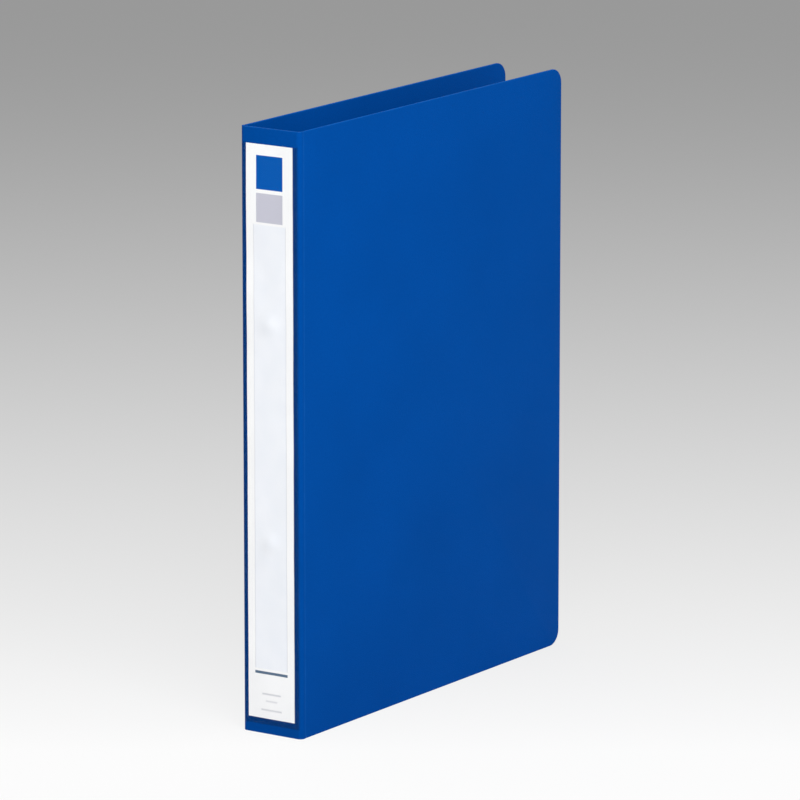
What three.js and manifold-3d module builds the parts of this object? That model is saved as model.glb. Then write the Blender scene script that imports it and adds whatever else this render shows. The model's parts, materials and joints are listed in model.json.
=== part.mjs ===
// Upright ring binder: folded plastic cover with a labelled spine, and two rings riveted inside it.
// Millimetres, +Z up. X runs from the spine to the fore-edge, Y from the front cover to the back cover.
import * as THREE from "three";
import { mergeVertices } from "three/addons/utils/BufferGeometryUtils.js";
import Module from "manifold-3d";

const wasm = await Module();
wasm.setup();

// Cover: one folded sheet, split at its two creases
const binderHeight = 307;
const coverReach = 235; // outer spine face to fore-edge
const spineWidth = 36; // over both covers
const sheet = 1.4;
const spineRadius = 2.5; // outer radius of the spine's two folds
const creaseSetback = 1; // from a fold's end to the crease line
const creaseGap = 0.3; // what is left of the V groove at the outer face
const grooveLean = 0.8; // how far each wall of the groove leans back through the sheet
const cornerRadius = 10; // fore-edge corners

// Spine label in its clear pocket
const labelWidth = 28;
const labelHeight = 291;
const labelLift = 8; // label's lower edge above the floor
const labelSheet = 0.25;
const filmSheet = 0.3;
const weldWidth = 1; // welded rim round the label

// Shared allowances
const seat = 0.3; // clearance between pieces that rest on each other
const easing = 0.3; // small chamfers on pins and rivets
const overrun = 1; // how far a cutting tool runs past what it cuts

// Ring mechanism
const ringPitch = 80;
const ringInside = 20; // diameter inside a closed ring
const wire = 2.8;
const swing = 10; // degrees that each half of the rings turns
const lap = 1.2; // how far each ring tip laps past the middle
const footOffset = 5; // ring foot from the mechanism's middle
const footRise = 0.6; // straight wire above the foot
const footBend = 2.8; // radius of the bend above the foot
const spigot = 2; // diameter of the foot inside the carrier
const spigotHead = 2.9; // diameter of the foot's upset head
const headThickness = 0.5;

const housingWidth = 19;
const housingHeight = 5.9;
const housingPlate = 0.8;
const archSag = 1; // fall of the crown from the middle to the shoulders
const archLength = 120;
const shoulderRound = 1;
const crownSpring = 0.2; // height of the crown's ends above the shoulders' bends
const slotClearance = 0.5; // round the wire where it leaves the arch
const gutterHeight = 1.85; // inner lip that carries a carrier plate
const gutterLip = 7.3; // middle of that lip from the mechanism's middle

const carrier = 1; // thickness of the carrier plates
const pivotOffset = 8.1; // a carrier's turning edge from the middle
const pivotHeight = 2.8; // above the sheet that the mechanism sits on
const carrierSplit = 0.4; // gap between the carriers
const carrierTongue = 6; // width over both end tongues
const lugPlace = 16;
const lugWidth = 8;
const lugReach = 1.5;
const rivetRoom = 0.7; // round a rivet, for the carriers to swing past it

const rivetInset = 5; // rivets from the ends of the arch
const rivetShank = 4.4;
const rivetHead = 9;
const rivetHeadThickness = 0.85;
const rivetDome = 0.3; // fall of the head towards its rim
const rivetBore = 2.4;
const rivetBoreDepth = 4;
const rivetClench = 7.2;

const leverSetout = 6; // lever pins past the ends of the arch
const leverPivotHeight = 3.2;
const leverHub = 4.8;
const leverPin = 2;
const pinHead = 3.4;
const pinHeadThickness = 0.6;
const leverPlate = 1.2;
const leverWidth = 14;
const leverHeight = 20;
const leverLean = 8.5; // how far a lever's tip leans out past its pin
const leverKnee = 17; // height at which the tab flares out
const kneeLean = 4.7;
const leverCorner = 3;
const fingerReach = 3.8;
const fingerWidth = 3.2;
const fingerPlate = 0.8;
const earHeight = 6.2;
const earReach = 4.6; // past the pin
const earChamfer = 1;

// Derived places
const pocketProud = seat + labelSheet + seat + filmSheet;
const spineFace = -(coverReach + pocketProud) / 2 + pocketProud;
const foreEdge = spineFace + coverReach;
const coverFace = spineWidth / 2;
const crease = spineFace + spineRadius + creaseSetback;
const seatFace = spineFace + sheet;
const middle = binderHeight / 2;
const rivetPitch = archLength - 2 * rivetInset;
const leverPivot = archLength / 2 + leverSetout;
const closedTilt = THREE.MathUtils.degToRad(swing / 2);
const ringRadius = (ringInside + wire) / 2;
const wallInside = housingWidth / 2 - housingPlate;
const footAlong = (pivotOffset - footOffset) / Math.cos(closedTilt);

// Looks
const plasticBlue = new THREE.MeshStandardMaterial({ color: 0x004a9c, roughness: 0.5, metalness: 0 });
const clearFilm = new THREE.MeshStandardMaterial({
  color: 0xf4f7fa,
  roughness: 0.15,
  metalness: 0,
  transparent: true,
  opacity: 0.3,
});
const labelPaper = new THREE.MeshStandardMaterial({ color: 0xf4f5f8, roughness: 0.6, metalness: 0 });
const platedSteel = new THREE.MeshStandardMaterial({ color: 0xc9ccd0, roughness: 0.25, metalness: 1 });
const brightSteel = new THREE.MeshStandardMaterial({ color: 0xb9bcc1, roughness: 0.35, metalness: 1 });

// Solids: three.js geometry joined and cut as closed bodies
function solid(geometry) {
  const bare = geometry.clone();
  bare.deleteAttribute("normal");
  bare.deleteAttribute("uv");
  const merged = mergeVertices(bare, 1e-4);
  return new wasm.Manifold(
    new wasm.Mesh({
      numProp: 3,
      vertProperties: new Float32Array(merged.attributes.position.array),
      triVerts: new Uint32Array(merged.index.array),
    }),
  );
}

function geometryOf(body) {
  const mesh = body.getMesh();
  const geometry = new THREE.BufferGeometry();
  geometry.setAttribute("position", new THREE.BufferAttribute(mesh.vertProperties, 3));
  geometry.setIndex(new THREE.BufferAttribute(mesh.triVerts, 1));
  const flat = geometry.toNonIndexed();
  flat.computeVertexNormals();
  return flat;
}

const join = (bodies) => bodies.reduce((whole, body) => whole.add(body));
const cut = (body, tools) => tools.reduce((rest, tool) => rest.subtract(tool), body);

// Axes that a drawn outline's x, y and depth are laid along
const planes = {
  xy: new THREE.Matrix4(),
  yz: new THREE.Matrix4().makeBasis(
    new THREE.Vector3(0, 1, 0),
    new THREE.Vector3(0, 0, 1),
    new THREE.Vector3(1, 0, 0),
  ),
  zx: new THREE.Matrix4().makeBasis(
    new THREE.Vector3(0, 0, 1),
    new THREE.Vector3(1, 0, 0),
    new THREE.Vector3(0, 1, 0),
  ),
};

function extrude(shape, plane, from, to, curveSegments = 8) {
  const geometry = new THREE.ExtrudeGeometry(shape, {
    depth: to - from,
    bevelEnabled: false,
    curveSegments,
  });
  return solid(geometry.translate(0, 0, from).applyMatrix4(planes[plane]));
}

function block(x0, x1, y0, y1, z0, z1) {
  const geometry = new THREE.BoxGeometry(x1 - x0, y1 - y0, z1 - z0);
  return solid(geometry.translate((x0 + x1) / 2, (y0 + y1) / 2, (z0 + z1) / 2));
}

function roundedRectangle(x0, x1, y0, y1, radius) {
  const shape = new THREE.Shape();
  shape.moveTo(x0 + radius, y0);
  shape.lineTo(x1 - radius, y0);
  shape.absarc(x1 - radius, y0 + radius, radius, -Math.PI / 2, 0);
  shape.lineTo(x1, y1 - radius);
  shape.absarc(x1 - radius, y1 - radius, radius, 0, Math.PI / 2);
  shape.lineTo(x0 + radius, y1);
  shape.absarc(x0 + radius, y1 - radius, radius, Math.PI / 2, Math.PI);
  shape.lineTo(x0, y0 + radius);
  shape.absarc(x0 + radius, y0 + radius, radius, Math.PI, Math.PI * 1.5);
  return shape;
}

// Outline of a folded sheet: its middle line thickened by mitred offsets on both sides
function foldedSheet(path, thickness, divisions = 6) {
  const line = path.getPoints(divisions).filter((p, i, all) => i === 0 || p.distanceTo(all[i - 1]) > 1e-6);
  const along = line.slice(1).map((p, i) => p.clone().sub(line[i]).normalize());
  const offset = (side) =>
    line.map((p, i) => {
      const before = along[Math.max(i - 1, 0)];
      const after = along[Math.min(i, along.length - 1)];
      const mitre = before.clone().add(after).normalize();
      const reach = (side * thickness) / 2 / mitre.dot(before);
      return new THREE.Vector2(p.x - mitre.y * reach, p.y + mitre.x * reach);
    });
  return new THREE.Shape([...offset(-1), ...offset(1).reverse()]);
}

// A turned piece: half profile as [radius, height along +X], revolved about the X axis
function turnedX(profile, segments = 20) {
  const points = profile.map(([radius, height]) => new THREE.Vector2(radius, height));
  return solid(new THREE.LatheGeometry(points, segments).rotateZ(-Math.PI / 2));
}

function rodX(radius, x0, x1, y, z, segments = 20) {
  const rod = turnedX([[0, x0], [radius, x0], [radius, x1], [0, x1]], segments);
  return rod.translate([0, y, z]);
}

function rodY(radius, y0, y1, x, z, segments = 20) {
  const geometry = new THREE.CylinderGeometry(radius, radius, y1 - y0, segments);
  return solid(geometry.translate(x, (y0 + y1) / 2, z));
}

// Middle line of the spine's folded section, offset outwards and ending at a half width or at the creases
function spineLine(offset, halfWidth) {
  const radius = spineRadius + offset;
  const centreX = spineFace + spineRadius;
  const centreY = coverFace - spineRadius;
  const line = new THREE.Path();
  if (halfWidth === undefined) {
    const end = crease - creaseGap / 2;
    line.moveTo(end, -centreY - radius);
    line.lineTo(centreX, -centreY - radius);
    line.absarc(centreX, -centreY, radius, -Math.PI / 2, -Math.PI, true);
    line.absarc(centreX, centreY, radius, Math.PI, Math.PI / 2, true);
    line.lineTo(end, centreY + radius);
    return line;
  }
  if (halfWidth <= centreY) {
    line.moveTo(spineFace - offset, -halfWidth);
    line.lineTo(spineFace - offset, halfWidth);
    return line;
  }
  const bend = Math.asin((halfWidth - centreY) / radius);
  line.absarc(centreX, -centreY, radius, -Math.PI + bend, -Math.PI, true);
  line.absarc(centreX, centreY, radius, Math.PI, Math.PI - bend, true);
  return line;
}

function grooveWedge(side, edge, lean) {
  const shape = new THREE.Shape();
  const outer = side * coverFace;
  const inner = side * (coverFace - sheet);
  const past = side * (coverFace - sheet - seat);
  const tip = edge + (lean * grooveLean * (sheet + seat)) / sheet;
  shape.moveTo(edge, outer);
  shape.lineTo(tip, past);
  shape.lineTo(edge - lean * seat, past);
  shape.lineTo(edge - lean * seat, (inner + outer) / 2);
  return extrude(shape, "xy", -overrun, binderHeight + overrun);
}

function spinePanel() {
  const section = foldedSheet(spineLine(-sheet / 2), sheet, 6);
  const panel = extrude(section, "xy", 0, binderHeight);
  const tools = [];
  for (const side of [-1, 1]) {
    tools.push(grooveWedge(side, crease - creaseGap / 2, -1));
    const z = middle + (side * rivetPitch) / 2;
    tools.push(rodX(rivetShank / 2 + seat, spineFace - overrun, seatFace + overrun, 0, z));
    const recess = rivetHeadThickness + seat / 2;
    tools.push(rodX(rivetHead / 2 + seat, spineFace - overrun, spineFace + recess, 0, z));
  }
  return cut(panel, tools);
}

function cover(side) {
  const edge = crease + creaseGap / 2;
  const outline = new THREE.Shape();
  outline.moveTo(0, edge);
  outline.lineTo(binderHeight, edge);
  outline.lineTo(binderHeight, foreEdge - cornerRadius);
  outline.absarc(binderHeight - cornerRadius, foreEdge - cornerRadius, cornerRadius, 0, Math.PI / 2);
  outline.lineTo(cornerRadius, foreEdge);
  outline.absarc(cornerRadius, foreEdge - cornerRadius, cornerRadius, Math.PI / 2, Math.PI);
  const faces = [side * coverFace, side * (coverFace - sheet)].sort((a, b) => a - b);
  return cut(extrude(outline, "zx", ...faces), [grooveWedge(side, edge, 1)]);
}

function spineSkin(inner, thickness, halfWidth, z0, z1) {
  return extrude(foldedSheet(spineLine(inner + thickness / 2, halfWidth), thickness, 3), "xy", z0, z1);
}

function spineLabel() {
  return spineSkin(seat, labelSheet, labelWidth / 2, labelLift, labelLift + labelHeight);
}

// Clear film open at the top, with a weld along its foot and both sides
function labelPocket() {
  const filmInside = pocketProud - filmSheet;
  const reach = labelWidth / 2 + seat + weldWidth;
  const z0 = labelLift - seat - weldWidth;
  const z1 = labelLift + labelHeight + seat;
  const whole = spineSkin(seat, pocketProud - seat, reach, z0, z1);
  const hollow = spineSkin(0, filmInside, reach - weldWidth, z0 + weldWidth, z1 + overrun);
  return whole.subtract(hollow);
}

// The mechanism is drawn about its own middle: x above the spine's inner face, y across, z along
function archLine() {
  const wall = (housingWidth - housingPlate) / 2;
  const bend = (wallInside + housingPlate / 2 - gutterLip) / 2;
  const foot = seat + housingPlate / 2 + bend;
  const shoulder = wall - shoulderRound;
  const crown = housingHeight - housingPlate / 2;
  const eaves = crown - archSag;
  const spring = eaves + crownSpring;
  const line = new THREE.Path();
  line.moveTo(gutterHeight, -gutterLip);
  line.lineTo(foot, -gutterLip);
  line.absarc(foot, -wall + bend, bend, Math.PI / 2, -Math.PI / 2);
  line.lineTo(eaves - shoulderRound, -wall);
  line.quadraticCurveTo(eaves, -wall, spring, -shoulder);
  line.quadraticCurveTo(2 * crown - spring, 0, spring, shoulder);
  line.quadraticCurveTo(eaves, wall, eaves - shoulderRound, wall);
  line.lineTo(foot, wall);
  line.absarc(foot, wall - bend, bend, Math.PI / 2, -Math.PI / 2);
  line.lineTo(gutterHeight, gutterLip);
  return line;
}

// Side plate at each end of the arch that holds a lever's pin
function ear(end, side) {
  const back = archLength / 2 - earReach;
  const tip = leverPivot + earReach;
  const outline = new THREE.Shape();
  outline.moveTo(end * back, seat);
  outline.lineTo(end * (tip - earChamfer), seat);
  outline.lineTo(end * tip, leverPivotHeight);
  outline.quadraticCurveTo(end * tip, earHeight, end * leverPivot, earHeight);
  outline.lineTo(end * (archLength / 2 + earChamfer), earHeight - earChamfer);
  outline.lineTo(end * back, housingHeight - archSag - shoulderRound - housingPlate);
  const faces = [side * wallInside, (side * housingWidth) / 2].sort((a, b) => a - b);
  return extrude(outline, "zx", ...faces);
}

function housing() {
  const arch = extrude(foldedSheet(archLine(), housingPlate, 4), "xy", -archLength / 2, archLength / 2);
  const ears = [-1, 1].flatMap((end) => [-1, 1].map((side) => ear(end, side)));
  const tools = [];
  for (const end of [-1, 1]) {
    const ring = (end * ringPitch) / 2;
    const slot = wire / 2 + slotClearance;
    const inner = footOffset - slot;
    const above = housingHeight + overrun;
    tools.push(rodY(leverPin / 2 + seat, -housingWidth, housingWidth, leverPivotHeight, end * leverPivot));
    tools.push(rodX(rivetShank / 2 + seat, pivotHeight, above, 0, (end * rivetPitch) / 2));
    tools.push(block(pivotHeight + carrier, above, inner, housingWidth, ring - slot, ring + slot));
    tools.push(block(pivotHeight + carrier, above, -housingWidth, -inner, ring - slot, ring + slot));
  }
  return cut(join([arch, ...ears]), tools);
}

// Back carrier in its own plane: y from its turning edge, z along, x through it
function carrierPlate() {
  const inner = -(pivotOffset - carrierSplit / 2);
  const outer = wallInside - pivotOffset - seat;
  const tongueEnd = leverPivot - leverHub / 2 - 2 * seat;
  const halfTongue = -(pivotOffset - carrierTongue / 2);
  const half = archLength / 2 - seat;
  const outline = new THREE.Shape();
  outline.moveTo(outer, -half);
  outline.lineTo(outer, half);
  outline.lineTo(halfTongue, half);
  outline.lineTo(halfTongue, tongueEnd);
  outline.lineTo(inner, tongueEnd);
  outline.lineTo(inner, -tongueEnd);
  outline.lineTo(halfTongue, -tongueEnd);
  outline.lineTo(halfTongue, -half);
  const plate = extrude(outline, "yz", -carrier / 2, carrier / 2);
  const lug = block(
    -carrier / 2,
    carrier / 2,
    -pivotOffset - lugReach,
    inner + overrun,
    lugPlace - lugWidth / 2,
    lugPlace + lugWidth / 2,
  );
  const notchHalf = lugWidth / 2 + seat;
  const notchDeep = -pivotOffset + lugReach + seat;
  const tools = [
    block(-carrier, carrier, inner - overrun, notchDeep, -lugPlace - notchHalf, notchHalf - lugPlace),
  ];
  for (const end of [-1, 1]) {
    const rivet = rodX(rivetShank / 2 + rivetRoom, -carrier, carrier, -pivotOffset, (end * rivetPitch) / 2);
    const foot = rodX(spigot / 2 + seat / 2, -carrier, carrier, -footAlong, (end * ringPitch) / 2);
    tools.push(rivet, foot);
  }
  return cut(plate.add(lug), tools);
}

// Middle line of the back ring half, closed: straight foot, bend, then round past the top by the lap
class RingLine extends THREE.Curve {
  constructor() {
    super();
    const inward = new THREE.Vector2(-Math.sin(closedTilt), -Math.cos(closedTilt));
    this.up = new THREE.Vector2(Math.cos(closedTilt), -Math.sin(closedTilt));
    this.foot = new THREE.Vector2(pivotHeight, pivotOffset).addScaledVector(inward, footAlong);
    this.start = this.foot.clone().addScaledVector(this.up, carrier / 2 + seat / 2);
    this.bendStart = this.start.clone().addScaledVector(this.up, footRise);
    this.bendCentre = this.bendStart.clone().addScaledVector(inward, -footBend);
    const reach = ringRadius + footBend;
    this.centre = new THREE.Vector2(this.bendCentre.x + Math.sqrt(reach ** 2 - this.bendCentre.y ** 2), 0);
    const across = this.centre.clone().sub(this.bendCentre);
    this.bendAngle = Math.acos(across.clone().normalize().dot(inward));
    this.roundStart = Math.atan2(this.bendCentre.y, across.x);
    this.roundAngle = Math.PI - this.roundStart + lap / ringRadius;
    this.lengths = [footRise, footBend * this.bendAngle, ringRadius * this.roundAngle];
    this.total = this.lengths.reduce((a, b) => a + b);
    this.inward = inward;
  }

  getPoint(t, target = new THREE.Vector3()) {
    let left = t * this.total;
    if (left <= this.lengths[0]) {
      const p = this.start.clone().addScaledVector(this.up, left);
      return target.set(p.x, p.y, 0);
    }
    left -= this.lengths[0];
    if (left <= this.lengths[1]) {
      const angle = left / footBend;
      const p = this.bendCentre.clone().addScaledVector(this.inward, footBend * Math.cos(angle));
      p.addScaledVector(this.up, footBend * Math.sin(angle));
      return target.set(p.x, p.y, 0);
    }
    const angle = this.roundStart + (left - this.lengths[1]) / ringRadius;
    const x = this.centre.x - ringRadius * Math.cos(angle);
    return target.set(x, ringRadius * Math.sin(angle), 0);
  }
}

const ringLine = new RingLine();
const ringTop = ringLine.centre.x + ringRadius + wire / 2;

// Back half ring: bent wire, a stepped tip, and a foot upset under the carrier
function ringHalf() {
  const section = new THREE.Shape();
  section.absarc(0, 0, wire / 2, 0, Math.PI * 2);
  const round = new THREE.ExtrudeGeometry(section, {
    extrudePath: ringLine,
    steps: 30,
    curveSegments: 6,
    bevelEnabled: false,
  });
  const room = lap + seat;
  const step = block(ringLine.centre.x, ringTop + overrun, -room - overrun, room, -wire, seat / 2);
  const rise = carrier / 2 + seat / 2;
  const neck = rise + seat / 3;
  const profile = [
    [0, -rise - headThickness],
    [spigotHead / 2, -rise - headThickness],
    [spigotHead / 2, -rise],
    [spigot / 2, -rise],
    [spigot / 2, neck],
    [0, neck],
  ];
  const foot = turnedX(profile, 16).rotate([0, 0, -swing / 2]);
  return solid(round).subtract(step).add(foot.translate([ringLine.foot.x, ringLine.foot.y, 0]));
}

// Tubular rivet: low domed head flush in the spine's recess, bored and clenched end on the arch
function rivet() {
  const face = -sheet;
  const headBack = face + rivetHeadThickness;
  const clench = housingHeight + seat;
  const end = clench + rivetHeadThickness;
  return turnedX([
    [0, face],
    [rivetHead / 4, face + rivetDome / 4],
    [rivetHead / 2, face + rivetDome],
    [rivetHead / 2, headBack],
    [rivetShank / 2, headBack],
    [rivetShank / 2, clench],
    [rivetClench / 2, clench],
    [rivetClench / 2 - easing, end - easing],
    [rivetBore / 2 + easing, end],
    [rivetBore / 2, end - easing],
    [rivetBore / 2, end - rivetBoreDepth],
    [0, end - rivetBoreDepth],
  ]);
}

function pin() {
  const half = housingWidth / 2 + seat;
  const profile = [
    [0, -half - pinHeadThickness],
    [pinHead / 2 - easing, -half - pinHeadThickness],
    [pinHead / 2, -half],
    [leverPin / 2, -half],
    [leverPin / 2, half],
    [pinHead / 2, half],
    [pinHead / 2 - easing, half + pinHeadThickness],
    [0, half + pinHeadThickness],
  ];
  const points = profile.map(([radius, height]) => new THREE.Vector2(radius, height));
  return solid(new THREE.LatheGeometry(points, 16)).translate([leverPivotHeight, 0, leverPivot]);
}

// Upper lever: rolled hub on its pin, a flared tab outwards and two fingers that hold the carriers' tongues
function lever() {
  const x = leverPivotHeight;
  const z = leverPivot;
  const hubHalf = wallInside - seat;
  const drop = (pivotOffset - carrierSplit / 2) * Math.sin(closedTilt);
  const lowerTop = pivotHeight - drop - carrier / 2 - seat;
  const hub = rodY(leverHub / 2, -hubHalf, hubHalf, x, z, 24);
  const line = new THREE.Path();
  line.moveTo(z + leverPlate / 2, x + leverHub / 4);
  line.splineThru([
    new THREE.Vector2(z + leverPlate, x + leverKnee / 2),
    new THREE.Vector2(z + kneeLean, x + leverKnee),
    new THREE.Vector2(z + leverLean, x + leverHeight),
  ]);
  const tab = extrude(foldedSheet(line, leverPlate, 4), "zx", -leverWidth / 2, leverWidth / 2);
  const top = x + leverHeight + leverPlate / 2;
  const front = roundedRectangle(x - leverCorner, top, -leverWidth / 2, leverWidth / 2, leverCorner);
  const blank = extrude(front, "xy", z - leverHub, z + leverLean + leverPlate);
  const side = fingerWidth / 2;
  const finger = (low) => block(low, low + fingerPlate, -side, side, z - fingerReach, z);
  const body = join([hub, tab.intersect(blank), finger(lowerTop - fingerPlate), finger(x)]);
  return body.subtract(rodY(leverPin / 2 + seat, -housingWidth, housingWidth, x, z));
}

const root = new THREE.Group();

function place(parent, name, body, material) {
  const mesh = new THREE.Mesh(geometryOf(body), material);
  mesh.name = name;
  parent.add(mesh);
}

place(root, "spine_panel", spinePanel(), plasticBlue);
place(root, "front_cover", cover(-1), plasticBlue);
place(root, "back_cover", cover(1), plasticBlue);
place(root, "spine_label", spineLabel(), labelPaper);
place(root, "label_pocket", labelPocket(), clearFilm);

const mechanism = new THREE.Group();
mechanism.position.set(seatFace, 0, middle);
root.add(mechanism);
place(mechanism, "ring_housing", housing(), platedSteel);

// The front half of the rings and the lower end are the back and the upper ones turned half round
for (const [side, turn] of [["back", 0], ["front", Math.PI]]) {
  const half = new THREE.Group();
  half.rotation.x = turn;
  mechanism.add(half);
  const hinge = new THREE.Group();
  hinge.position.set(pivotHeight, pivotOffset, 0);
  hinge.rotation.z = -closedTilt;
  half.add(hinge);
  place(hinge, `${side}_carrier`, carrierPlate(), brightSteel);
  for (const [end, shift] of [["upper", ringPitch / 2], ["lower", -ringPitch / 2]]) {
    const ring = new THREE.Group();
    ring.position.z = turn ? -shift : shift;
    half.add(ring);
    place(ring, `${end}_ring_${side}`, ringHalf(), platedSteel);
  }
}

for (const [end, turn] of [["upper", 0], ["lower", Math.PI]]) {
  const half = new THREE.Group();
  half.rotation.x = turn;
  mechanism.add(half);
  place(half, `${end}_lever`, lever(), platedSteel);
  place(half, `${end}_lever_pin`, pin(), brightSteel);
  place(half, `${end}_rivet`, rivet().translate([0, 0, rivetPitch / 2]), platedSteel);
}

export default root;
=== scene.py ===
"""Looks, camera and light for the upright ring binder. Metres, +Z up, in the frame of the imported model."""

import json
import math

import bmesh
import bpy
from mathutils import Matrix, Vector, noise

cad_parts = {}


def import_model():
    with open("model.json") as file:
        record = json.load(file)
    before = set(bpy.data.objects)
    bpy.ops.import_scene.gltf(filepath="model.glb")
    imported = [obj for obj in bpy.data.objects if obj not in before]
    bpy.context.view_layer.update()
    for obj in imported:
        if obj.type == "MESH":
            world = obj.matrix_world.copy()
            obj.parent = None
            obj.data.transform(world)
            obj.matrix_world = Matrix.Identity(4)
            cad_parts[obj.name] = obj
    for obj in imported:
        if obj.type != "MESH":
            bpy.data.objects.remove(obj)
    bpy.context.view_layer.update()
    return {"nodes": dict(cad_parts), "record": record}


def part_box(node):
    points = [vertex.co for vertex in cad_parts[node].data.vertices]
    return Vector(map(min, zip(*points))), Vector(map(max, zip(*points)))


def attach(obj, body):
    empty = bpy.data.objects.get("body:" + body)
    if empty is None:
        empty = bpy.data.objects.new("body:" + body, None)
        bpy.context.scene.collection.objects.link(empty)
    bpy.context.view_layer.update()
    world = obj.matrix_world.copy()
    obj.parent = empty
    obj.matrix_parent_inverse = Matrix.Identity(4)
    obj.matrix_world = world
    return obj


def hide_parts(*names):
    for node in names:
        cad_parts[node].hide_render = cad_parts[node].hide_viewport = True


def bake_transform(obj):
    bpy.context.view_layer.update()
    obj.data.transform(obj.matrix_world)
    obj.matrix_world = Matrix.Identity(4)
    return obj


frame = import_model()

MM = 0.001


def middle_height(node):
    low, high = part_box(node)
    return (low.z + high.z) / 2


# Places read from the frame
SPINE_LOW, SPINE_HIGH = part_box("spine_panel")
COVER_LOW, COVER_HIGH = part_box("back_cover")
LABEL_LOW, LABEL_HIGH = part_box("spine_label")
POCKET_LOW, POCKET_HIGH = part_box("label_pocket")
HEIGHT = SPINE_HIGH.z
SPINE_FACE = SPINE_LOW.x
COVER_FACE = SPINE_HIGH.y
FORE_EDGE = COVER_HIGH.x
SHEET = COVER_HIGH.y - COVER_LOW.y
CREASE = (SPINE_HIGH.x + COVER_LOW.x) / 2
MIDDLE = HEIGHT / 2
RIVETS = (middle_height("lower_rivet"), middle_height("upper_rivet"))

# Cover: outer radius of the spine's folds, rounded corners, softened edges and the crease groove
SPINE_RADIUS = 2.5 * MM
CORNER_RADIUS = 8 * MM
EDGE_ROUND = 0.28 * MM
CREASE_GAP = 0.3 * MM
GROOVE_LEAN = 0.8 * MM
FOLD_CLEARANCE = 0.02 * MM
ARC_STEPS = 24
FOLD_STEPS = 20

# Web at a crease: how far it laps over the gap, its two faces' depths in the sheet, and its columns
WEB_LAP = 0.35 * MM
WEB_OUTER_DEPTH = 0.06 * MM
WEB_INNER_DEPTH = 0.5 * MM
WEB_COLUMNS = 8

# Label and film: height over the spine's face, thickness, welded strip and mesh
LABEL_LIFT = 0.28 * MM
LABEL_THICKNESS = 0.2 * MM
FILM_LIFT = 0.62 * MM
FILM_THICKNESS = 0.12 * MM
WELD_LIFT = 0.06 * MM
WELD = 1.2 * MM
FILM_HALF_WIDTH = POCKET_HIGH.y + 1.6 * MM
FILM_FOOT = POCKET_LOW.z - 2.2 * MM
SKIN_COLUMNS = 44
SKIN_ROWS = 320

# Generic print on the label: half widths and heights of its fields
PANEL_HALF = 9.6 * MM
SQUARE_HALF = 7.9 * MM
BLUE_TOP = LABEL_HIGH.z - 5.5 * MM
BLUE_FOOT = BLUE_TOP - 17 * MM
GREY_TOP = BLUE_FOOT - 1.9 * MM
GREY_FOOT = GREY_TOP - 14.6 * MM
LINE_HEIGHT = LABEL_LOW.z + 23.5 * MM
LINE_HALF = 9.8 * MM
LINE_HALF_THICKNESS = 0.7 * MM
PANEL_TOP = GREY_FOOT - 1.2 * MM
PANEL_FOOT = LINE_HEIGHT + 2 * MM
RULE_HALF_THICKNESS = 0.22 * MM
BAR_HALF_THICKNESS = 0.45 * MM
PRINT_SOFTNESS = 0.12 * MM

# Plain bars at the label's foot: height over it, half width and darkness
BARS = ((12.6 * MM, 5.6 * MM, 0.45), (9.0 * MM, 3.4 * MM, 0.3), (4.4 * MM, 6.2 * MM, 0.4))

# Unevenness of the label: a bump over each rivet and slanting ripples round it
BUMP_HEIGHT, BUMP_RADIUS = 0.62 * MM, 4.8 * MM
RIPPLE_HEIGHT, RIPPLE_RADIUS = 0.2 * MM, 11 * MM
RIPPLE_LENGTH, RIPPLE_SLANT = 3.1 * MM, 0.6

# Wrinkles all over it: height, size across, size up and place in the noise
WRINKLES = ((0.22 * MM, 12 * MM, 26 * MM, 3.7), (0.05 * MM, 6 * MM, 9 * MM, 8.1))

# Softened edges: angles in degrees, and sizes on the steel pieces
BEVEL_ANGLE = 40
SMOOTH_ANGLE = 35
BEVELLED_SMOOTH_ANGLE = 50
FLAT_ANGLE = 1
STEEL_ROUND = 0.12 * MM
MERGE_DISTANCE = 0.002 * MM

# Colours, as scene-linear values
BLUE = (0.0003, 0.063, 0.31)
# Paler blue of the edges and creases: partly wear, partly a painted edge highlight
WEAR_AND_HIGHLIGHT_BLUE = (0.006, 0.105, 0.42)
PAPER = (0.965, 0.97, 0.975)
PANEL_SHADED = (0.872, 0.9, 0.95)
PANEL_LIGHT = (0.908, 0.93, 0.972)
PRINT_BLUE = (0.0018, 0.098, 0.434)
PRINT_GREY = (0.572, 0.572, 0.655)
PRINT_RULE = (0.45, 0.47, 0.55)
PRINT_LINE = (0.11, 0.17, 0.25)
PRINT_BAR = (0.35, 0.35, 0.42)
FILM_TINT = (0.12, 0.14, 0.18)
# Near-black tint of the strip round the label in the film: painted shade
RIM_SHADE_TINT = (0.01, 0.02, 0.05)
STEEL = (0.62, 0.63, 0.65)
FLOOR_COLOUR = (0.8, 0.8, 0.8)

# Camera of the photograph
AZIMUTH, ELEVATION = -55.70, 12.26
DISTANCE = 3.3384
LENS = 295.05
SENSOR = 36
CLIP_END = 100
SHIFT = (-0.00599, -0.00846)
TARGET = Vector((FORE_EDGE - 117.5 * MM, 0, MIDDLE))

# Studio: the floor glows for camera rays with painted shade, fading from white by the binder to grey behind
# it, along the camera's view
KEY_AZIMUTH, KEY_ELEVATION = -40, 48
KEY_DISTANCE = 2.2
KEY_SIZE = 1.3
KEY_POWER = 38.0
WORLD_STRENGTH = 0.55
FLOOR_SIZE = 12
FLOOR_GLOW = 0.9
FLOOR_WHITE = (0.985, 0.985, 0.985)
FLOOR_SHADE_GREY = (0.297, 0.297, 0.297)
FADE_NEAR, FADE_FAR = -0.128, 2.309
FADE_POWER = 2.0
FADE_HEADING = (-math.sin(math.radians(AZIMUTH)), math.cos(math.radians(AZIMUTH)), 0)


# Meshes
def new_object(name, data):
    piece = bpy.data.objects.new(name, data)
    bpy.context.scene.collection.objects.link(piece)
    return piece


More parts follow.
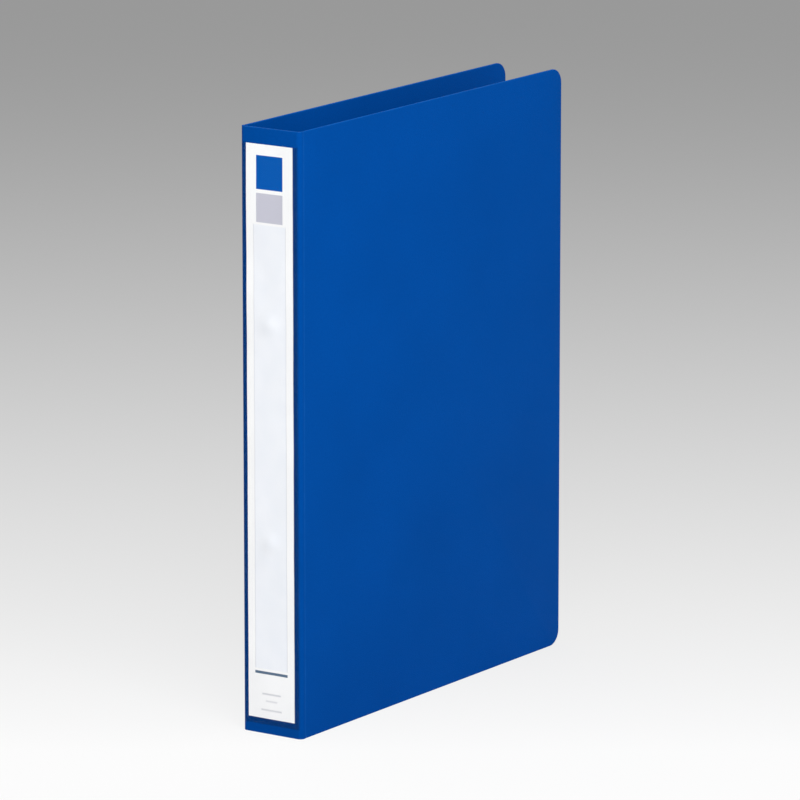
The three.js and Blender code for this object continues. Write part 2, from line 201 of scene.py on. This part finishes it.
def mesh_object(name, vertices, faces):
    mesh = bpy.data.meshes.new(name)
    mesh.from_pydata(vertices, [], faces)
    mesh.validate()
    bm = bmesh.new()
    bm.from_mesh(mesh)
    bmesh.ops.recalc_face_normals(bm, faces=bm.faces)
    bm.to_mesh(mesh)
    bm.free()
    return new_object(name, mesh)


def apply_modifiers(piece):
    graph = bpy.context.evaluated_depsgraph_get()
    graph.update()
    mesh = bpy.data.meshes.new_from_object(piece.evaluated_get(graph))
    piece.modifiers.clear()
    piece.data = mesh


def smooth_by_angle(piece, degrees=SMOOTH_ANGLE):
    limit = math.radians(degrees)
    bm = bmesh.new()
    bm.from_mesh(piece.data)
    for face in bm.faces:
        face.smooth = True
    for edge in bm.edges:
        sharp = len(edge.link_faces) != 2 or edge.calc_face_angle(0) > limit
        edge.smooth = not sharp
    bm.to_mesh(piece.data)
    bm.free()


def rounded_edges(piece, width, segments=3):
    bevel = piece.modifiers.new("bevel", "BEVEL")
    bevel.width = width
    bevel.segments = segments
    bevel.limit_method = "ANGLE"
    bevel.angle_limit = math.radians(BEVEL_ANGLE)
    apply_modifiers(piece)
    smooth_by_angle(piece, BEVELLED_SMOOTH_ANGLE)


def finish_piece(piece, body, material, slot, *nodes):
    piece.data.materials.clear()
    piece.data.materials.append(material)
    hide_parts(*nodes)
    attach(piece, body)


def arc(centre, radius, start, end, steps):
    return [
        (
            centre[0] + radius * math.cos(start + (end - start) * i / steps),
            centre[1] + radius * math.sin(start + (end - start) * i / steps),
        )
        for i in range(steps + 1)
    ]


def prism(name, outline, lift):
    """A closed outline given as flat points; lift turns a point and a layer, 0 or 1, into a place."""
    n = len(outline)
    vertices = [lift(p, 0) for p in outline] + [lift(p, 1) for p in outline]
    faces = [tuple(range(n)), tuple(range(2 * n - 1, n - 1, -1))]
    faces += [(i, (i + 1) % n, n + (i + 1) % n, n + i) for i in range(n)]
    return mesh_object(name, vertices, faces)


# Materials
class Nodes:
    """A material's node tree with short ways to add what these materials use."""

    def __init__(self, name):
        self.material = bpy.data.materials.new(name)
        self.material.use_nodes = True
        self.tree = self.material.node_tree
        self.shader = self.tree.nodes["Principled BSDF"]
        self.place = self.tree.nodes.new("ShaderNodeTexCoord").outputs["Object"]

    def link(self, source, target):
        self.tree.links.new(source, target)

    def feed(self, value, socket):
        if isinstance(value, bpy.types.NodeSocket):
            self.link(value, socket)
        else:
            socket.default_value = value

    def axes(self):
        split = self.tree.nodes.new("ShaderNodeSeparateXYZ")
        self.link(self.place, split.inputs[0])
        return split.outputs["X"], split.outputs["Y"], split.outputs["Z"]

    def math(self, operation, a, b=0.0, clamp=False):
        node = self.tree.nodes.new("ShaderNodeMath")
        node.operation = operation
        node.use_clamp = clamp
        self.feed(a, node.inputs[0])
        self.feed(b, node.inputs[1])
        return node.outputs[0]

    def away(self, value, centre):
        return self.math("ABSOLUTE", self.math("SUBTRACT", value, centre))

    def rise(self, value, width):
        """0 where the value is 0 or less, and 1 from the width on."""
        return self.math("DIVIDE", value, width, clamp=True)

    def span(self, value, low, high, out_low, out_high):
        node = self.tree.nodes.new("ShaderNodeMapRange")
        self.feed(value, node.inputs["Value"])
        ends = {"From Min": low, "From Max": high, "To Min": out_low, "To Max": out_high}
        for name, number in ends.items():
            node.inputs[name].default_value = number
        return node.outputs["Result"]

    def noise(self, size, detail=2.0, roughness=0.5, vector=None):
        node = self.tree.nodes.new("ShaderNodeTexNoise")
        self.link(vector or self.place, node.inputs["Vector"])
        node.inputs["Scale"].default_value = 1 / size
        node.inputs["Detail"].default_value = detail
        node.inputs["Roughness"].default_value = roughness
        return node.outputs["Fac"]

    def mottle(self, size, detail=3):
        return self.span(self.noise(size, detail), 0.3, 0.7, 0.0, 1.0)

    def cells(self, size):
        node = self.tree.nodes.new("ShaderNodeTexVoronoi")
        self.link(self.place, node.inputs["Vector"])
        node.feature = "SMOOTH_F1"
        node.inputs["Scale"].default_value = 1 / size
        return node.outputs["Distance"]

    def mix(self, factor, a, b):
        node = self.tree.nodes.new("ShaderNodeMix")
        node.data_type = "RGBA"
        self.feed(factor, node.inputs["Factor"])
        for colour, socket in ((a, node.inputs["A"]), (b, node.inputs["B"])):
            self.feed((*colour, 1) if isinstance(colour, tuple) else colour, socket)
        return node.outputs["Result"]

    def bump(self, height, depth, strength):
        node = self.tree.nodes.new("ShaderNodeBump")
        node.inputs["Strength"].default_value = strength
        node.inputs["Distance"].default_value = depth
        self.link(height, node.inputs["Height"])
        return node.outputs["Normal"]

    def set(self, **values):
        for name, value in values.items():
            socket = self.shader.inputs[name.replace("_", " ")]
            self.feed((*value, 1) if isinstance(value, tuple) else value, socket)


def shade(colour, amount):
    return tuple(c * amount for c in colour)


def cover_plastic(name):
    """Satin polypropylene: pebbled grain, a slight mottle, and paler at its top and bottom edges and creases,
    partly wear and partly a painted edge highlight.
    """
    n = Nodes(name)
    along, _, up = n.axes()
    base = n.mix(n.mottle(60 * MM), shade(BLUE, 0.955), shade(BLUE, 1.06))
    specks = n.span(n.noise(1.2 * MM, 3), 0.35, 0.65, 0.0, 1.0)
    base = n.mix(n.math("MULTIPLY", specks, 0.4), base, shade(BLUE, 0.86))

    # Painted edge highlight mixed with wear: the top and bottom edges and the creases turn a paler blue
    pale_rim_width = 0.5 * MM
    edge = n.rise(n.math("SUBTRACT", n.away(up, MIDDLE), MIDDLE - pale_rim_width), pale_rim_width)
    fold = n.rise(n.math("SUBTRACT", 0.8 * MM, n.away(along, CREASE)), pale_rim_width)
    wear_and_highlight = n.math("MAXIMUM", n.math("MULTIPLY", edge, 0.7), n.math("MULTIPLY", fold, 0.4))
    patches = n.span(n.noise(5 * MM, 4), 0.3, 0.7, 0.3, 1.0)
    base = n.mix(n.math("MULTIPLY", wear_and_highlight, patches), base, WEAR_AND_HIGHLIGHT_BLUE)

    grain = n.math("ADD", n.cells(0.55 * MM), n.noise(0.3 * MM, 2))
    gloss = n.span(n.noise(18 * MM, 5, 0.65), 0.45, 0.75, 0.42, 0.52)
    n.set(Base_Color=base, Roughness=gloss, Normal=n.bump(grain, 0.08 * MM, 0.9))
    n.set(Specular_IOR_Level=0.006)
    return n.material


def label_print(name):
    """White paper with a framed panel, two plain squares at its head and plain bars at its foot."""
    n = Nodes(name)
    _, across, up = n.axes()

    def band(value, low, high):
        rise = n.math("DIVIDE", n.math("SUBTRACT", value, low), PRINT_SOFTNESS)
        fall = n.math("DIVIDE", n.math("SUBTRACT", high, value), PRINT_SOFTNESS)
        rise, fall = (n.math("ADD", side, 0.5, clamp=True) for side in (rise, fall))
        return n.math("MULTIPLY", rise, fall)

    def field(y0, y1, z0, z1):
        return n.math("MULTIPLY", band(across, y0, y1), band(up, z0, z1))

    def middle_field(half, z0, z1):
        return field(-half, half, z0, z1)

    mottle = n.mottle(9 * MM)
    base = n.mix(mottle, shade(PAPER, 0.985), PAPER)
    panel = n.mix(mottle, PANEL_SHADED, PANEL_LIGHT)
    base = n.mix(middle_field(PANEL_HALF, PANEL_FOOT, PANEL_TOP), base, panel)
    for edge in (-PANEL_HALF, PANEL_HALF):
        rule = field(edge - RULE_HALF_THICKNESS, edge + RULE_HALF_THICKNESS, PANEL_FOOT, PANEL_TOP)
        base = n.mix(n.math("MULTIPLY", rule, 0.35), base, PRINT_RULE)
    base = n.mix(middle_field(SQUARE_HALF, GREY_FOOT, GREY_TOP), base, PRINT_GREY)
    base = n.mix(middle_field(SQUARE_HALF, BLUE_FOOT, BLUE_TOP), base, PRINT_BLUE)
    line = middle_field(LINE_HALF, LINE_HEIGHT - LINE_HALF_THICKNESS, LINE_HEIGHT + LINE_HALF_THICKNESS)
    base = n.mix(line, base, PRINT_LINE)
    for height, half, dark in BARS:
        middle = LABEL_LOW.z + height
        bar = middle_field(half, middle - BAR_HALF_THICKNESS, middle + BAR_HALF_THICKNESS)
        base = n.mix(n.math("MULTIPLY", bar, dark), base, PRINT_BAR)
    normal = n.bump(n.noise(0.5 * MM, 3), 0.02 * MM, 0.3)
    n.set(Base_Color=base, Roughness=0.55, Normal=normal)
    n.set(Specular_IOR_Level=0.02)
    return n.material


def clear_film(name):
    """Thin clear film: seen through, faintly hazed, with a darker strip round the label that is painted shade
    laid over the welded rim.
    """
    n = Nodes(name)
    _, across, up = n.axes()
    across = n.math("ABSOLUTE", across)
    aside = n.math("SUBTRACT", across, LABEL_HIGH.y)
    below = n.math("SUBTRACT", LABEL_LOW.z, up)
    # Painted shade: a dark strip in the film beside the label's sides and below its foot
    painted_shade_strip = n.rise(n.math("MAXIMUM", aside, below), 0.3 * MM)
    inward = n.math("SUBTRACT", FILM_HALF_WIDTH, across)
    upward = n.math("SUBTRACT", up, FILM_FOOT)
    fade = n.rise(n.math("MINIMUM", inward, upward), 0.7 * MM)
    veil = n.span(n.noise(30 * MM, 2), 0.35, 0.65, 0.004, 0.012)
    alpha = n.math("ADD", veil, n.math("MULTIPLY", n.math("MULTIPLY", painted_shade_strip, fade), 0.15))
    haze = n.span(n.noise(25 * MM, 3), 0.3, 0.7, 0.10, 0.22)
    n.set(Base_Color=n.mix(painted_shade_strip, FILM_TINT, RIM_SHADE_TINT), Roughness=haze, Alpha=alpha)
    n.set(Normal=n.bump(n.noise(6 * MM, 3), 0.08 * MM, 0.3))
    n.set(Specular_IOR_Level=0.1)
    return n.material


def steel(name, colour, roughness, streak):
    """Plated or rolled steel with fine drawing marks along the binder's height."""
    n = Nodes(name)
    stretch = n.tree.nodes.new("ShaderNodeMapping")
    n.link(n.place, stretch.inputs["Vector"])
    stretch.inputs["Scale"].default_value = (1, 1, streak)
    marks = n.noise(0.35 * MM, 4, 0.6, stretch.outputs["Vector"])
    base = n.mix(n.mottle(7 * MM), shade(colour, 0.93), colour)
    shine = n.span(marks, 0.3, 0.7, roughness - 0.05, roughness + 0.07)
    n.set(Base_Color=base, Roughness=shine, Normal=n.bump(marks, 0.008 * MM, 0.4))
    n.set(Metallic=1.0)
    return n.material


# Folded cover
def spine_outline():
    """The spine's folded section, with leaning ends that leave the crease groove open to the inside."""
    centre_x = SPINE_FACE + SPINE_RADIUS
    centre_y = COVER_FACE - SPINE_RADIUS
    end = CREASE - CREASE_GAP / 2

    def side(offset, stop):
        radius = SPINE_RADIUS - offset
        line = [(stop, -centre_y - radius)]
        line += arc((centre_x, -centre_y), radius, -math.pi / 2, -math.pi, FOLD_STEPS)
        line += arc((centre_x, centre_y), radius, math.pi, math.pi / 2, FOLD_STEPS)
        return line + [(stop, centre_y + radius)]

    return side(0, end) + side(SHEET, end - GROOVE_LEAN)[::-1]


def spine_piece(material):
    piece = prism("spine_sheet", spine_outline(), lambda p, layer: (p[0], p[1], HEIGHT * layer))
    rounded_edges(piece, EDGE_ROUND)
    finish_piece(piece, "spine", material, "cover_plastic", "spine_panel")


def cover_piece(side, node, material):
    low = CREASE + CREASE_GAP / 2
    corner = FORE_EDGE - CORNER_RADIUS
    outline = [(low, 0), (low, HEIGHT)]
    outline += arc((corner, HEIGHT - CORNER_RADIUS), CORNER_RADIUS, math.pi / 2, 0, ARC_STEPS)
    outline += arc((corner, CORNER_RADIUS), CORNER_RADIUS, 0, -math.pi / 2, ARC_STEPS)
    faces = (side * (COVER_FACE - FOLD_CLEARANCE), side * (COVER_FACE - SHEET))
    piece = prism(f"{node}_sheet", outline, lambda p, layer: (p[0], faces[layer], p[1]))
    rounded_edges(piece, EDGE_ROUND)
    finish_piece(piece, node, material, "cover_plastic", node)


def hinge_web(side, body, material):
    """The thin web left at the outer face of a crease."""
    half = CREASE_GAP / 2 + WEB_LAP
    outer = side * (COVER_FACE - WEB_OUTER_DEPTH)
    inner = side * (COVER_FACE - WEB_INNER_DEPTH)
    across = [CREASE - half + 2 * half * i / WEB_COLUMNS for i in range(WEB_COLUMNS + 1)]
    outline = [(x, outer) for x in across] + [(x, inner) for x in reversed(across)]
    height = HEIGHT - 2 * EDGE_ROUND
    piece = prism(
        f"{body}_crease_web", outline, lambda p, layer: (p[0], p[1], EDGE_ROUND + height * layer)
    )
    smooth_by_angle(piece)
    piece.data.materials.append(material)
    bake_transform(piece)


# Label and its pocket, laid round the spine's folded section
def spine_point(s, offset):
    """Place over the spine's outer face, at a distance s across it from its middle."""
    flat = COVER_FACE - SPINE_RADIUS
    if abs(s) <= flat:
        return SPINE_FACE - offset, s
    side = math.copysign(1, s)
    angle = (abs(s) - flat) / SPINE_RADIUS
    reach = SPINE_RADIUS + offset
    return SPINE_FACE + SPINE_RADIUS - reach * math.cos(angle), side * (flat + reach * math.sin(angle))


def label_wave(s, z):
    """Height of the label's soft unevenness at s across the spine and z up it."""
    height = 0.0
    for rivet in RIVETS:
        away = math.hypot(s, z - rivet)
        height += BUMP_HEIGHT * math.exp(-((away / BUMP_RADIUS) ** 2))
        slant = (s + RIPPLE_SLANT * (z - rivet)) / RIPPLE_LENGTH
        height += RIPPLE_HEIGHT * math.exp(-((away / RIPPLE_RADIUS) ** 2)) * math.cos(slant)
    for size, across, upward, place in WRINKLES:
        height += size * noise.noise(Vector((s / across, z / upward, place)))
    return height


def skin(name, half_width, z0, z1, lift, thickness):
    """A closed thin sheet over the spine; lift gives its height over the spine's face at s and z."""
    vertices = []
    for layer in (0, thickness):
        for j in range(SKIN_ROWS + 1):
            z = z0 + (z1 - z0) * j / SKIN_ROWS
            for i in range(SKIN_COLUMNS + 1):
                s = half_width * (2 * i / SKIN_COLUMNS - 1)
                vertices.append((*spine_point(s, lift(s, z) + layer), z))
    across = SKIN_COLUMNS + 1
    back = across * (SKIN_ROWS + 1)
    faces = []
    for j in range(SKIN_ROWS):
        for i in range(SKIN_COLUMNS):
            a = j * across + i
            faces.append((a, a + 1, a + across + 1, a + across))
            faces.append((back + a, back + a + across, back + a + across + 1, back + a + 1))
    for i in range(SKIN_COLUMNS):
        top = SKIN_ROWS * across + i
        faces.append((i, back + i, back + i + 1, i + 1))
        faces.append((top, top + 1, back + top + 1, back + top))
    for j in range(SKIN_ROWS):
        left = j * across
        right = left + SKIN_COLUMNS
        faces.append((left, left + across, back + left + across, back + left))
        faces.append((right, back + right, back + right + across, right + across))
    piece = mesh_object(name, vertices, faces)
    smooth_by_angle(piece)
    return piece


def label_piece(material):
    def lift(s, z):
        return LABEL_LIFT + label_wave(s, z)

    piece = skin("printed_label", LABEL_HIGH.y, LABEL_LOW.z, LABEL_HIGH.z, lift, LABEL_THICKNESS)
    finish_piece(piece, "spine", material, "label_paper", "spine_label")


def pocket_piece(material):
    def lift(s, z):
        edge = min(FILM_HALF_WIDTH - abs(s), z - FILM_FOOT)
        t = min(1, max(0, edge / WELD))
        rise = t * t * (3 - 2 * t)
        return WELD_LIFT + rise * (FILM_LIFT + label_wave(s, z))

    piece = skin("pocket_film", FILM_HALF_WIDTH, FILM_FOOT, POCKET_HIGH.z, lift, FILM_THICKNESS)
    finish_piece(piece, "spine", material, "clear_film", "label_pocket")


# Ring mechanism
def softened(node, body, material, slot):
    """A node's own shape, merged into clean faces and with softened edges."""
    piece = new_object(f"{node}_finished", frame["nodes"][node].data.copy())
    bm = bmesh.new()
    bm.from_mesh(piece.data)
    bmesh.ops.remove_doubles(bm, verts=bm.verts, dist=MERGE_DISTANCE)
    flat = math.radians(FLAT_ANGLE)
    bmesh.ops.dissolve_limit(bm, angle_limit=flat, verts=bm.verts, edges=bm.edges)
    bm.to_mesh(piece.data)
    bm.free()
    rounded_edges(piece, STEEL_ROUND, 2)
    finish_piece(piece, body, material, slot, node)


def build_binder():
    plastic = cover_plastic("satin_blue_plastic")
    spine_piece(plastic)
    for side, body in ((-1, "front_cover"), (1, "back_cover")):
        cover_piece(side, body, plastic)
        hinge_web(side, body, plastic)
    label_piece(label_print("printed_paper"))
    pocket_piece(clear_film("clear_film"))
    steels = {
        "plated_steel": steel("nickel_plate", STEEL, roughness=0.2, streak=0.05),
        "bright_steel": steel("bright_steel", shade(STEEL, 0.82), roughness=0.34, streak=0.02),
    }
    slots = {s["node"]: s["material_slot"] for s in frame["record"]["subparts"]}
    for body, nodes in frame["record"]["behaviour"]["bodies"].items():
        for node in nodes:
            if slots[node] in steels:
                softened(node, body, steels[slots[node]], slots[node])


# Studio
def aim(piece, azimuth, elevation, distance):
    """Put a camera or lamp at a distance from the target, looking at it."""
    a, e = math.radians(azimuth), math.radians(elevation)
    back = Vector((math.sin(a) * math.cos(e), -math.cos(a) * math.cos(e), math.sin(e)))
    piece.location = TARGET + back * distance
    piece.rotation_euler = back.to_track_quat("Z", "Y").to_euler()


def camera():
    data = bpy.data.cameras.new("camera")
    data.lens = LENS
    data.sensor_width = SENSOR
    data.shift_x, data.shift_y = SHIFT
    data.clip_end = CLIP_END
    piece = new_object("camera", data)
    aim(piece, AZIMUTH, ELEVATION, DISTANCE)
    bpy.context.scene.camera = piece


def key_light():
    data = bpy.data.lights.new("key", "AREA")
    data.shape = "DISK"
    data.size = KEY_SIZE
    data.energy = KEY_POWER
    aim(new_object("key", data), KEY_AZIMUTH, KEY_ELEVATION, KEY_DISTANCE)


def world():
    surroundings = bpy.data.worlds.new("surroundings")
    bpy.context.scene.world = surroundings
    surroundings.use_nodes = True
    background = surroundings.node_tree.nodes["Background"]
    background.inputs["Color"].default_value = (1, 1, 1, 1)
    background.inputs["Strength"].default_value = WORLD_STRENGTH


def floor_material():
    """Pale floor that glows for camera rays, with painted shade: the glow fades from white by the binder to
    grey behind it.
    """
    n = Nodes("backdrop")
    behind = n.tree.nodes.new("ShaderNodeVectorMath")
    behind.operation = "DOT_PRODUCT"
    n.link(n.place, behind.inputs[0])
    behind.inputs[1].default_value = FADE_HEADING
    # Painted shade: the floor's glow darkens from white near the binder to grey further behind it
    nearness = n.rise(n.math("SUBTRACT", FADE_FAR, behind.outputs["Value"]), FADE_FAR - FADE_NEAR)
    glow = n.tree.nodes.new("ShaderNodeEmission")
    n.link(n.mix(n.math("POWER", nearness, FADE_POWER), FLOOR_SHADE_GREY, FLOOR_WHITE), glow.inputs["Color"])
    n.set(Base_Color=FLOOR_COLOUR, Roughness=0.9)
    path = n.tree.nodes.new("ShaderNodeLightPath")
    mix = n.tree.nodes.new("ShaderNodeMixShader")
    n.link(n.math("MULTIPLY", path.outputs["Is Camera Ray"], FLOOR_GLOW), mix.inputs["Fac"])
    n.link(n.shader.outputs[0], mix.inputs[1])
    n.link(glow.outputs[0], mix.inputs[2])
    n.link(mix.outputs[0], n.tree.nodes["Material Output"].inputs["Surface"])
    return n.material


def floor():
    mesh = bpy.data.meshes.new("floor")
    bm = bmesh.new()
    bmesh.ops.create_grid(bm, x_segments=2, y_segments=2, size=FLOOR_SIZE)
    bm.to_mesh(mesh)
    bm.free()
    piece = new_object("floor", mesh)
    piece.data.materials.append(floor_material())


camera()
build_binder()
floor()
world()
key_light()
bpy.context.scene.view_settings.view_transform = "Standard"
